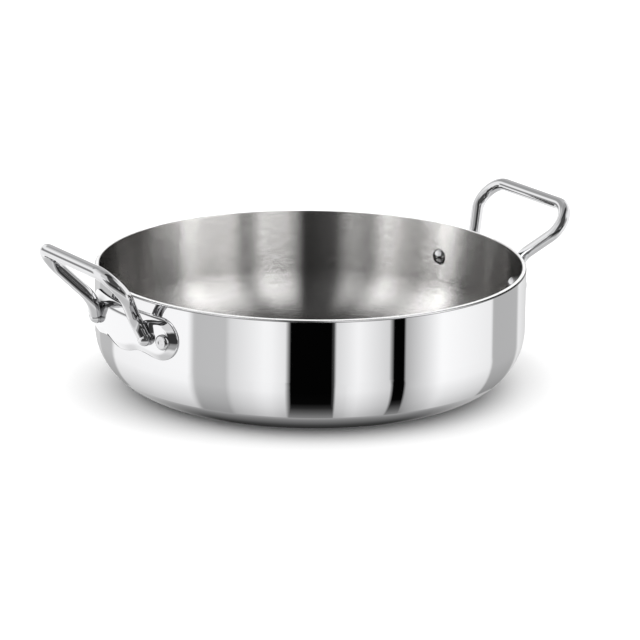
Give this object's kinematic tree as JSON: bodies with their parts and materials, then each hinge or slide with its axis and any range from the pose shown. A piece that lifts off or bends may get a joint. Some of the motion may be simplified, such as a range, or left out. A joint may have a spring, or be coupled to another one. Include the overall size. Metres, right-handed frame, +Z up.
{
  "type": "rondeau",
  "caption": "Wide shallow straight-walled cooking pan of bonded plies, with two fixed loop handles riveted to the wall below the rim.",
  "frame": {"origin": "centre of the base, on the surface that the pan stands on", "axes": "+Z up along the pan's axis, +X through the middle of the right handle"},
  "size_m": [0.3662, 0.285, 0.1096],
  "materials": {
    "polished_steel": "mirror polished stainless steel",
    "bond_alloy": "cut edge of an aluminium alloy sheet",
    "core_aluminium": "cut edge of a pure aluminium sheet",
    "brushed_steel": "satin, brushed round the pan",
    "plate_steel": "polished stainless steel",
    "handle_steel": "polished round bar",
    "rivet_steel": "polished rivet heads"
  },
  "bodies": {
    "root": {"outer_steel_ply": "polished_steel", "outer_alloy_ply": "bond_alloy", "core_aluminium_ply": "core_aluminium", "inner_alloy_ply": "bond_alloy", "inner_steel_ply": "brushed_steel", "left_handle_plate": "plate_steel", "right_handle_plate": "plate_steel", "left_handle_grip": "handle_steel", "right_handle_grip": "handle_steel", "left_front_rivet": "rivet_steel", "left_rear_rivet": "rivet_steel", "right_front_rivet": "rivet_steel", "right_rear_rivet": "rivet_steel"}
  },
  "joints": []
}
